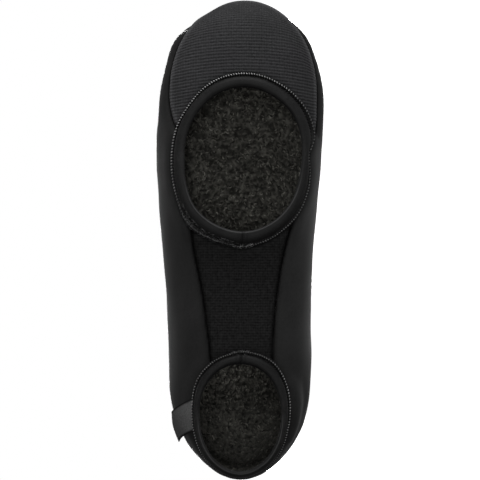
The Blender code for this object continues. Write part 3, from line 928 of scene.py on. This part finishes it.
class Band:
    """One bound opening: the band's points and normals on the bare skin, and its own raised surface."""

    def __init__(self, outer, inner, columns, join_angle):
        self.columns = columns
        self.angle = (np.arange(columns) * FULL_TURN / columns)[:, None]
        self.reach = half_turn(self.angle - join_angle) * outer.half_across
        gap = Rim(*(o - i for o, i in zip(outer, inner)))
        self.width = np.mean([gap.half_along, gap.half_across])
        cosine, sine = np.cos(self.angle), np.sin(self.angle)
        apart = np.hypot(gap.along + gap.half_along * cosine, gap.across + gap.half_across * sine)
        outer_wave, inner_wave = (wave_out(self.angle, rim) / apart for rim in (outer, inner))
        self.stretch = 1.0 + STRETCH * np.maximum(outer_wave, STRETCH_LEAST)[:, 0]
        pulled = BAND_STOPS - outer_wave * np.clip(1.0 - BAND_STOPS, 0.0, PULL_MOST) ** 2
        pulled = pulled - inner_wave * np.clip(BAND_STOPS, 0.0, 1.0) ** 2
        rim = Rim(*(o - g * pulled for o, g in zip(outer, gap)))
        edge = [rim.along + rim.half_along * cosine, rim.across + rim.half_across * sine]
        foot = np.stack([*edge, np.zeros(pulled.shape)], axis=-1)
        tip = np.stack([rim.along, rim.across, rim.tip], axis=-1)
        start = foot + (tip - foot) * (RAY_UP / rim.tip)[..., None]
        self.base = cast(start, foot - tip, SKIN_TREE)
        wrapped = np.concatenate([self.base[-2:], self.base, self.base[:2]])
        centre = np.array([outer.along, outer.across, RAY_UP])
        self.normal = grid_normals(wrapped, wrapped - centre)[2:-2]
        seam = self.base[:, SEAM_ROW]
        self.arc = np.cumsum(np.linalg.norm(np.roll(seam, -1, axis=0) - seam, axis=-1))
        self.surface = moved(self.base, self.normal, self.profile(BAND_STOPS))

    def profile(self, stop):
        """How far the band stands out at places across it, all round."""
        pad = PAD_HEIGHT * np.maximum(1.0 - ((stop - PAD_MIDDLE) / PAD_HALF) ** 2, 0.0) ** PAD_ROUND
        groove = GROOVE_REAR + (1.0 - GROOVE_REAR) * ramp(GROOVE_FRONT + np.cos(self.angle))
        cloth = ramp(stop, *CLOTH_SPAN)
        join = mound(self.reach, SLIT) * ramp(stop, *SLIT_SPAN) + mound(np.abs(self.reach), LIPS) * cloth
        place = self.base * GATHER_STRETCH
        gather = bumps(place, GATHER_FINE) * ramp(np.abs(stop - GATHER_MIDDLE), 0.0, GATHER_HALF)
        gather = (gather + bumps(place, GATHER_WIDE)) * cloth
        height = BAND_HEIGHT + mound(stop, RIDGE) + pad - DIP * ramp(stop, *DIP_SPAN)
        return height + groove * mound(stop, GROOVE) + join + gather

    def at(self, column, stop, lift):
        """Points on the raised surface at places round the band and across it, lifted a little."""
        column = np.asarray(column) % self.columns
        first = np.floor(column).astype(int)
        x = (column - first)[..., None]
        row = np.interp(stop, BAND_STOPS, np.arange(len(BAND_STOPS)))
        low = np.minimum(np.floor(row).astype(int), len(BAND_STOPS) - 2)
        y = (row - low)[..., None]
        first, after = first % self.columns, (first + 1) % self.columns

        def mix(grid):
            near = grid[first, low] * (1 - y) + grid[first, low + 1] * y
            far = grid[after, low] * (1 - y) + grid[after, low + 1] * y
            return near * (1 - x) + far * x

        return moved(mix(self.surface), mix(self.normal), lift)

    def build(self, name, node, front_dark, rear_dark, fold_dark, worn_from):
        """The band's mesh, with its painted shade and light. A highlight is painted along its fold where the
        cosine of the angle is below the given start.
        """
        inwards = unit(self.base[:, -1] - self.base[:, -4])
        rows = [moved(self.surface, self.normal, -EDGE_DROP)[:, :1], self.surface]
        for reach, rise in CURL:
            rows.append((self.surface[:, -1] + inwards * reach + self.normal[:, -1] * rise)[:, None])
        curl_stops = 1.0 + CURL_STOP * np.arange(1, len(CURL) + 1)
        stops = np.concatenate([BAND_STOPS[:1], BAND_STOPS, curl_stops])
        cosine, sine = np.cos(self.angle), np.sin(self.angle)
        front, rear = ramp(cosine), ramp(REAR_GAIN * cosine)
        # Painted shade in the groove, at the outer edge and on the ridge, towards the toe, the rear and the
        # fold, under the knots and in the slit.
        shade = reduce(np.maximum, [
            mound(stops, GROOVE_DARK) + mound(stops, EDGE_DARK) + mound(stops, RIDGE_DARK),
            fold_dark * front * ramp(stops, *FOLD_DARK_SPAN),
            rear_dark * rear,
            front_dark * front,
            mound(self.reach, KNOT_DARK) * ramp(stops, *KNOT_SPAN),
            mound(self.reach, SLIT_DARK) * ramp(stops, *CLOTH_SPAN),
        ])
        # Painted light: a highlight along the fold, and lighter sides.
        worn = mound(stops, FOLD_PAINTED_LIGHT) * ramp(cosine, worn_from, worn_from - FOLD_LIGHT_FADE)
        worn = worn + SIDE_PAINTED_LIGHT * np.abs(sine) * ramp(stops, *SIDE_LIGHT_SPAN)
        run = np.minimum(stops, FOLD_END) * self.width
        place = np.stack(np.broadcast_arrays(self.arc[:, None], run, 0.0), axis=-1)
        faces = grid_quads(self.columns + 1, len(stops)) % (self.columns * len(stops))
        add_piece(name, np.concatenate(rows, axis=1), faces, band_cloth, "elastic_binding", node,
                  seam=np.minimum(shade, 1.0), worn=worn, band=place)


TUBE_ASIDE = np.array([0.31, 0.52, 0.79])
TUBE_END = 0.35


def tubes(paths, radius, sides):
    """Thin tubes along many paths with the same number of points each: points, faces and path numbers."""
    count, steps = paths.shape[:2]
    tangent = unit(np.gradient(paths, axis=1))
    aside = unit(np.cross(tangent, TUBE_ASIDE))
    other = np.cross(tangent, aside)
    angle = np.arange(sides) * FULL_TURN / sides
    radius = np.broadcast_to(np.asarray(radius, dtype=float).reshape(-1, 1), (count, steps)).copy()
    radius[:, [0, -1]] *= TUBE_END
    ring = aside[:, :, None] * np.cos(angle)[:, None] + other[:, :, None] * np.sin(angle)[:, None]
    points = paths[:, :, None] + ring * radius[:, :, None, None]
    first = (np.arange(count)[:, None, None] * steps + np.arange(steps - 1)[:, None]) * sides
    i = first + np.arange(sides)
    j = first + (np.arange(sides) + 1) % sides
    faces = np.stack([i, j, j + sides, i + sides], axis=-1)
    return points.reshape(-1, 3), faces.reshape(-1, 4), np.repeat(np.arange(count), steps * sides)


# The overlock stitches over a seam: threads over its ridge, and threads in its groove painted near black as
# painted shade. The tables give the painted light and shade of the threads over the ridge at angles round
# each opening.
STITCH_RADIUS = 0.37
STITCH_STEPS = 7
STITCH_SIDES = 5
STITCH_LEAN = 0.3
OVER_STOPS = (-0.055, 0.1)
OVER_LIFT = 0.1
OVER_LIGHT = (0.55, 1.15)
LOOP_STOPS = (0.1, 0.09)
LOOP_LEAN = 2.2
LOOP_LIFT = 0.08
LOOP_LIGHT = (0.0, 0.03)
CLEAT_LIGHT = [
    (-3.15, 0.06), (-2.4, 0.08), (-2.15, 0.2), (-1.9, 0.42), (-1.5, 0.55), (-0.9, 0.85), (0.0, 0.8),
    (0.5, 0.7), (0.9, 0.35), (1.3, 0.15), (2.0, 0.28), (2.6, 0.2), (3.15, 0.08),
]
HEEL_LIGHT = [
    (-3.15, 0.06), (-2.6, 0.12), (-1.9, 0.5), (-1.0, 0.48), (-0.5, 0.26), (0.1, 0.14), (0.5, 0.3),
    (1.2, 0.48), (1.9, 0.45), (2.6, 0.12), (3.15, 0.06),
]


def make_stitches(name, band, light_table, pitch):
    count = int(band.arc[-1] / pitch)
    column = np.arange(count) * band.columns / count
    lean = STITCH_LEAN * band.columns / count
    part = np.linspace(0.0, 1.0, STITCH_STEPS)
    short = np.interp(column, np.arange(band.columns), 1.0 / band.stretch)[:, None]
    over_stops = (OVER_STOPS[0] + OVER_STOPS[1] * part) * short
    over = band.at(column[:, None] + lean * (part - 0.5), over_stops, OVER_LIFT)
    loop_stops = LOOP_STOPS[0] + LOOP_STOPS[1] * part
    loops = band.at(column[:, None] + lean * (1.0 - LOOP_LEAN * part), loop_stops, LOOP_LIFT)
    angle = half_turn(column / band.columns * FULL_TURN)
    # Painted light and shade on the threads over the ridge, from the table; the threads in the groove are
    # painted near black as shade.
    light = np.interp(angle, *np.array(light_table).T) * rng.uniform(*OVER_LIGHT, count)
    dim = rng.uniform(*LOOP_LIGHT, count)
    points, faces, numbers = tubes(np.concatenate([over, loops]), STITCH_RADIUS, STITCH_SIDES)
    add_piece(name, points, faces, thread, light=np.concatenate([light, dim])[numbers])


# Loose loops of thread, in rows along part of a seam.
CURL_STEPS = 8
JOIN_RADIUS = 0.24
JOIN_PITCH = 1.5
JOIN_ASIDE = (-0.5, 0.5)
JOIN_SPREAD = (-0.04, 0.04)
JOIN_WIDE = (0.6, 1.2)
JOIN_LONG = (0.5, 0.9)
JOIN_SWEEP = (3.0, 5.4)
JOIN_STOP_MOST = 0.6
JOIN_LIFT = 0.15
JOIN_RISE = 0.4
JOIN_RISES = (0.2, 1.0)
JOIN_DARK = 0.4
JOIN_LIGHT = (0.4, 1.0)


def make_join(name, band, span, rows, light):
    """Loops as where a band's two ends are sewn together, between two angles and at places across it."""
    per_mm = band.columns / band.arc[-1]
    first, last = (a / FULL_TURN * band.columns for a in span)
    middles = np.arange(first, last, JOIN_PITCH * per_mm)
    column, stop = (a.reshape(-1, 1) for a in np.meshgrid(middles, rows))
    loops = (len(column), 1)
    column = column + rng.uniform(*JOIN_ASIDE, loops) * per_mm
    stop = stop + rng.uniform(*JOIN_SPREAD, loops)
    wide, long = rng.uniform(*JOIN_WIDE, loops), rng.uniform(*JOIN_LONG, loops)
    part = np.linspace(0.0, 1.0, CURL_STEPS)
    sweep = rng.uniform(0.0, FULL_TURN, loops) + part * rng.uniform(*JOIN_SWEEP, loops)
    stops = np.clip(stop + np.sin(sweep) * long / band.width, BAND_STOPS[0], JOIN_STOP_MOST)
    lift = JOIN_LIFT + JOIN_RISE * np.sin(part * math.pi) * rng.uniform(*JOIN_RISES, loops)
    paths = band.at(column + np.cos(sweep) * wide * per_mm, stops, lift)
    points, faces, numbers = tubes(paths, JOIN_RADIUS, STITCH_SIDES)
    shine = np.where(rng.uniform(size=loops) < JOIN_DARK, 0.0, rng.uniform(*JOIN_LIGHT, loops) * light)
    add_piece(name, points, faces, thread, light=shine[numbers])


# The fleece inside: the whole lining, and finer curly cloth where the openings show it. Its colour is
# painted darker where its nap is low and on the curls near their roots, painted shade in its hollows.
LINING_UNDER = 0.5
LINING_EDGE = 3.0
LINING_DEPTH = 0.9
LINING_LOWEST = 1.2
LINING_BRIGHT = 0.6
CURL_BEND = 2.0
CURL_BEND_SIZE = 4.6
CURL_BEND_SHIFTS = (4.0, 9.0, 14.0)
WORMS = (1.9, 2.7, 21.0)
WORM_SHARE = 0.65
TUFTS = (0.5, 2.4, 30.0)
TUFT_SHARE = 0.45


def curl_height(points):
    """The worm-like curls of the fleece, between 0 and 1."""
    bend = np.stack([noise(points, CURL_BEND_SIZE, shift) for shift in CURL_BEND_SHIFTS], axis=-1)
    worms = 1.0 - np.abs(bumps(points + CURL_BEND * bend, WORMS))
    tufts = 0.5 + bumps(points, TUFTS)
    return np.clip(WORM_SHARE * worms + TUFT_SHARE * tufts, 0.0, 1.0)


def make_lining():
    levels = level_rows(LINING_UNDER, near_sole=29, above=193)
    base, normal = skin_grid(levels)
    base = press_flat(base - normal * WALL, WALL)
    outside = opening_distance(base) + LINING_EDGE
    base, normal, faces = cut_sheet(base, normal, grid_quads(len(levels), SKIN_COLUMNS), outside)
    nap = curl_height(base)
    points = press_flat(moved(base, normal, -LINING_DEPTH * nap), LINING_LOWEST)
    # Painted shade: the lining is darker in the hollows of its nap.
    add_piece("fleece_lining", points, faces, fleece, weld=True,
              shoe=base, nap=nap, bright=np.full(len(nap), LINING_BRIGHT))


FLEECE_CELL = 0.5
FLEECE_RAY_UP = 26.0
FLEECE_HIT = 0.01
FLEECE_SMOOTH = 60
FLEECE_HEIGHT = 0.8
FLEECE_DEPTH = 2.0
FLEECE_NAP = (0.1, 0.45)
CURL_RADIUS = (0.36, 0.62)
CURL_SIDES = 4
CURL_SWEEP = (1.4, 3.4)
CURL_SIZE = (1.1, 2.1)
CURL_TIGHTEN = 0.3
CURL_RISE = 0.7
CURL_RISES = (0.3, 1.0)
CURL_SINK = 0.3
CURL_ROOT = 0.3
CURL_TONE = (0.08, 1.0)


def make_fleece(name, area, curls, bright):
    """The curly cloth that an opening shows: a fine sheet seen from below, and loose curls on it."""
    start = ray_grid(area, FLEECE_CELL, FLEECE_RAY_UP)
    above = np.broadcast_to(UP, start.shape)
    grid = cast(start, above, INSIDE_TREE)
    up = grid[..., 2]
    missed = up < FLEECE_RAY_UP + FLEECE_HIT
    for _ in range(FLEECE_SMOOTH):
        near = np.pad(up, 1, mode="edge")
        mean = (near[:-2, 1:-1] + near[2:, 1:-1] + near[1:-1, :-2] + near[1:-1, 2:]) / 4.0
        up[:] = np.where(missed, up, mean)
    normal = grid_normals(grid, -above)
    nap = curl_height(grid)
    points = moved(grid, normal, FLEECE_HEIGHT + FLEECE_DEPTH * nap)
    quads = grid_quads(*nap.shape)
    whole = quads[~missed.ravel()[quads].any(axis=1)].tolist()
    sheet = np.concatenate([points, grid, nap[..., None]], axis=-1).reshape(nap.size, -1)
    sheet, normal, faces = drop_unused(sheet, normal.reshape(-1, 3), whole)
    points, shoe, nap = sheet[:, :3], sheet[:, 3:6], sheet[:, 6]
    # Painted shade in the sheet's hollows, and painted light and shade along the shoe.
    add_piece(name, points, faces, fleece,
              shoe=shoe, nap=FLEECE_NAP[0] + FLEECE_NAP[1] * nap, bright=np.interp(shoe[:, 0], *bright))

    picked = rng.choice(len(points), curls, replace=False)
    centre, normal = points[picked, None], normal[picked]
    aside = unit(np.cross(normal, rng.normal(size=(curls, 3))))
    other = np.cross(normal, aside)
    part = np.linspace(0.0, 1.0, CURL_STEPS)
    sweep = part * rng.uniform(*CURL_SWEEP, curls)[:, None]
    size = rng.uniform(*CURL_SIZE, curls)[:, None] * (1.0 - CURL_TIGHTEN * part)
    rise = CURL_RISE * np.sin(part * math.pi) * rng.uniform(*CURL_RISES, curls)[:, None] - CURL_SINK
    paths = moved(centre, aside[:, None], np.cos(sweep) * size)
    paths = moved(moved(paths, other[:, None], np.sin(sweep) * size), normal[:, None], rise)
    points, faces, numbers = tubes(paths, rng.uniform(*CURL_RADIUS, curls), CURL_SIDES)
    along_curl = np.tile(np.repeat(np.sin(part * math.pi), CURL_SIDES), curls)
    # Painted shade: each curl is darker near its roots.
    tone = (CURL_ROOT + (1.0 - CURL_ROOT) * along_curl) * rng.uniform(*CURL_TONE, curls)[numbers]
    add_piece(name + "_curls", points, faces, fleece, nap=tone, bright=np.interp(points[:, 0], *bright))


# The collar's turned hem: its lip over the edge, and a row of stitches.
LIP_STEPS = 9
LIP_ROUND = 0.8
HEM_STITCHES = 62
HEM_STITCH_STEPS = 5
HEM_STITCH_LONG = 0.62
HEM_STITCH_LEVEL = HEM_LEVEL + 0.16
HEM_STITCH_LIFT = 0.05
HEM_STITCH_RISE = 0.12
HEM_STITCH_LOWEST = 0.2
HEM_STITCH_RADIUS = 0.28
HEM_STITCH_SIDES = 6
HEM_STITCH_LIGHT = (0.05, 0.11)


def make_collar():
    turn = np.linspace(0.0, 1.0, SKIN_COLUMNS)
    base, normal = skin(np.full(turn.shape, float(TOP_LEVEL)), turn)
    over = np.linspace(0.0, math.pi, LIP_STEPS)
    half = (WALL + HEM_STEP) / 2.0
    lip = moved(press_flat(base, 0.0)[:, None], normal[:, None], HEM_STEP - half + half * np.cos(over))
    points = press_flat(moved(lip, UP, half * LIP_ROUND * np.sin(over)).reshape(-1, 3), 0.0)
    plain = np.ones(len(points))
    add_piece("collar_lip", points, grid_quads(len(turn), LIP_STEPS), softshell, "softshell", weld=True,
              seam=0.0 * plain, shine=plain, pale=plain)

    middle = (np.arange(HEM_STITCHES) + 0.5) / HEM_STITCHES
    part = np.linspace(-0.5, 0.5, HEM_STITCH_STEPS)
    places = middle[:, None] + part * HEM_STITCH_LONG / HEM_STITCHES
    base, normal = skin(np.full(places.size, HEM_STITCH_LEVEL), places.ravel())
    lift = HEM_STEP + HEM_STITCH_LIFT + HEM_STITCH_RISE * np.cos(np.tile(part, HEM_STITCHES) * math.pi)
    paths = press_flat(moved(base, normal, lift), HEM_STITCH_LOWEST).reshape(*places.shape, 3)
    points, faces, numbers = tubes(paths, HEM_STITCH_RADIUS, HEM_STITCH_SIDES)
    light = rng.uniform(*HEM_STITCH_LIGHT, HEM_STITCHES)[numbers]
    add_piece("collar_stitches", points, faces, thread, light=light)


# The ribbon loop beside the heel opening: two layers with a fold at the free end. The rear and front
# corner of its sewn edge and of its free fold each stand off the upper a little. Its long edges are
# painted dark, a painted shadow.
Corner = namedtuple("Corner", "along level off")
TAG_SEWN = (Corner(31.0, 2.88, 0.5), Corner(51.5, 2.24, 0.5))
TAG_FREE = (Corner(26.0, 4.55, 3.5), Corner(43.7, 3.84, 2.0))
TAG_WIDE = 20.5
TAG_LONG = 19.0
TAG_LAYER = 0.88
TAG_ACROSS_STEPS = 40
TAG_LONG_STEPS = 30
TAG_FOLD_STEPS = 8
TAG_FOLD_AT = 0.97
TAG_TUCK = 0.12
TAG_CROWN = 0.25
TAG_BUMPS = (0.12, 6.0, 0.0)
TAG_EDGE = Mound(0.12, 0.0, 0.05)
TAG_EDGE_SHADOW = Mound(1.0, 0.0, 1.3, 4)


def make_tag():
    straight = np.linspace(0.0, TAG_FOLD_AT, TAG_LONG_STEPS)
    bend = np.linspace(math.pi / 2.0, -math.pi / 2.0, TAG_FOLD_STEPS)
    fold = TAG_FOLD_AT + (1.0 - TAG_FOLD_AT) * np.cos(bend)
    parts = np.concatenate([straight, fold, straight[::-1]])
    layers = np.concatenate([np.ones(TAG_LONG_STEPS), 0.5 + 0.5 * np.sin(bend), np.zeros(TAG_LONG_STEPS)])
    wide = np.linspace(0.0, 1.0, TAG_ACROSS_STEPS)
    from_edge = np.minimum(wide, 1.0 - wide)
    sewn, free = np.array(TAG_SEWN), np.array(TAG_FREE)
    rows = []
    for part, layer in zip(parts, layers):
        rear, front = sewn + (free - sewn) * (part * (1.0 + TAG_TUCK) - TAG_TUCK)
        place = Corner(*(rear + (front - rear) * wide[:, None]).T)
        row = section_at(place.level)
        angle = np.arccos(1.0 - 2.0 * (place.along - row.rear) / (row.front - row.rear))
        base, normal = skin(place.level, 1.0 - angle / FULL_TURN)
        lift = place.off + layer * TAG_LAYER + TAG_CROWN * np.sin(wide * math.pi) * part
        rows.append(moved(base, normal, lift + bumps(base, TAG_BUMPS) + mound(from_edge, TAG_EDGE)))
    cloth = np.broadcast_arrays(wide * TAG_WIDE, (parts * TAG_LONG)[:, None], layers[:, None])
    # Painted shadow along the tag's long edges.
    painted_edge_shadow = np.tile(mound(from_edge * TAG_WIDE, TAG_EDGE_SHADOW), len(parts))
    add_piece("ribbon_tag", np.array(rows), grid_quads(len(parts), len(wide)), ribbon_material(),
              "ribbon_tag", "side_tag", seam=painted_edge_shadow, band=np.stack(cloth, axis=-1))


# Where each opening shows fleece, and how bright the fleece is painted at places along the shoe, painted
# light and shade for how far the light reaches into each opening.
CLEAT_FLEECE = ((148.0, 260.0), (-42.0, 47.0))
CLEAT_BRIGHT = ((165.0, 205.0, 240.0, 252.0), (1.35, 1.0, 1.05, 1.5))
HEEL_FLEECE = ((-2.0, 80.0), (-33.0, 34.0))
HEEL_BRIGHT = ((10.0, 45.0, 72.0), (0.36, 0.45, 1.55))
CLEAT_JOIN = (math.pi - 0.14, math.pi + 0.16)
CLEAT_LOOPS = (math.pi + 0.13, math.pi + 1.05)
HEEL_JOIN = (-0.17, 0.13)

make_upper()
make_toe()
make_arch()
# Each band's painted shade towards the toe, the rear and the fold, and where the highlight painted along its
# fold starts.
cleat = Band(CLEAT_OUTER, CLEAT_INNER, columns=640, join_angle=math.pi)
cleat.build("cleat_band", "cleat_binding", front_dark=0.3, rear_dark=0.6, fold_dark=0.85, worn_from=-0.1)
heel = Band(HEEL_OUTER, HEEL_INNER, columns=480, join_angle=0.0)
heel.build("heel_band", "heel_binding", front_dark=0.5, rear_dark=0.0, fold_dark=0.6, worn_from=0.3)
make_stitches("cleat_overlock", cleat, CLEAT_LIGHT, pitch=1.8)
make_stitches("heel_overlock", heel, HEEL_LIGHT, pitch=1.55)
make_join("cleat_join", cleat, CLEAT_JOIN, rows=(-0.03, 0.14), light=0.3)
make_join("cleat_loops", cleat, CLEAT_LOOPS, rows=(-0.06, 0.1, 0.24), light=0.1)
make_join("heel_join", heel, HEEL_JOIN, rows=(-0.11, -0.03, 0.12), light=0.06)
make_lining()
make_fleece("cleat_fleece", CLEAT_FLEECE, curls=2400, bright=CLEAT_BRIGHT)
make_fleece("heel_fleece", HEEL_FLEECE, curls=1500, bright=HEEL_BRIGHT)
make_collar()
make_tag()


# The studio: a pale floor, white surroundings, and lights before the sole, behind the shoe and beyond the
# toe. The view's width and distance, the floor and the lights are in metres.
VIEW_CENTRE = np.array([151.8, 0.3, 28.0])
VIEW_DISTANCE = 2.5
VIEW_WIDTH = 0.3049
VIEW_END = 100.0
SENSOR = 36.0
WORLD_SPAN = (-1.0, 0.6)
WORLD_LIGHT = (0.12, 0.42)
WHITE = (1.0, 1.0, 1.0, 1.0)
FLOOR_SIZE = 30.0
FLOOR_UNDER = 0.0003
FLOOR_GRAIN = 0.4
FLOOR_GLOW = 1.0
LIGHT_TARGET = Vector((0.0, 0.0, 0.05))


def make_floor():
    bpy.ops.mesh.primitive_plane_add(size=FLOOR_SIZE, location=(0.0, 0.0, -FLOOR_UNDER))
    floor = bpy.context.active_object
    floor.name = "floor"
    m = new_material("pale_floor", roughness=0.9, specular=0.0)
    place = m.add("ShaderNodeTexCoord", {}, "Object")
    m.colour(m.noise(place, size=FLOOR_GRAIN), grey(0.9), grey(0.93))
    m.set("Emission Color", WHITE)
    m.set("Emission Strength", FLOOR_GLOW)
    floor.data.materials.append(m.owner)
    floor.visible_diffuse = False
    floor.visible_glossy = False
    floor.visible_shadow = False


def make_light(name, place, size, power):
    data = bpy.data.lights.new(name, "AREA")
    data.shape = "RECTANGLE"
    data.size, data.size_y = size
    data.energy = power
    light = add_object(name, data)
    light.location = place
    light.rotation_euler = (LIGHT_TARGET - Vector(place)).to_track_quat("-Z", "Y").to_euler()


def make_world():
    """White all round for the camera, and a softer light on the shoe, weaker from the heel's end."""
    bpy.context.scene.world = bpy.data.worlds.new("white")
    m = Nodes(bpy.context.scene.world, "BACKGROUND")
    along = m.part(m.add("ShaderNodeTexCoord", {}, "Generated"), "X")
    glow = m.ramp(along, WORLD_SPAN, to=WORLD_LIGHT, kind="LINEAR")
    seen = m.add("ShaderNodeLightPath", {}, "Is Camera Ray")
    m.set("Color", WHITE)
    m.set("Strength", m.add("ShaderNodeMix", {"Factor": seen, "A": glow, "B": 1.0}, "Result"))


def make_camera():
    target = Vector(to_world(VIEW_CENTRE))
    right = Vector((FLOOR_SIN, 0.0, -FLOOR_COS))
    top = Vector((FLOOR_COS, 0.0, FLOOR_SIN))
    back = right.cross(top)
    data = bpy.data.cameras.new("camera")
    data.sensor_width = SENSOR
    data.lens = SENSOR * VIEW_DISTANCE / VIEW_WIDTH
    data.clip_end = VIEW_END
    camera = add_object("camera", data)
    turn = Matrix((right, top, back)).transposed().to_4x4()
    camera.matrix_world = Matrix.Translation(target + back * VIEW_DISTANCE) @ turn
    bpy.context.scene.camera = camera


make_floor()
make_world()
make_camera()
make_light("front", (0.1, -2.9, 0.17), size=(1.2, 0.3), power=30.0)
make_light("behind", (0.1, 2.6, 0.3), size=(1.6, 0.6), power=130.0)
make_light("toe", (1.7, -1.0, 0.1), size=(0.8, 0.8), power=46.0)
bpy.context.scene.view_settings.view_transform = "Standard"
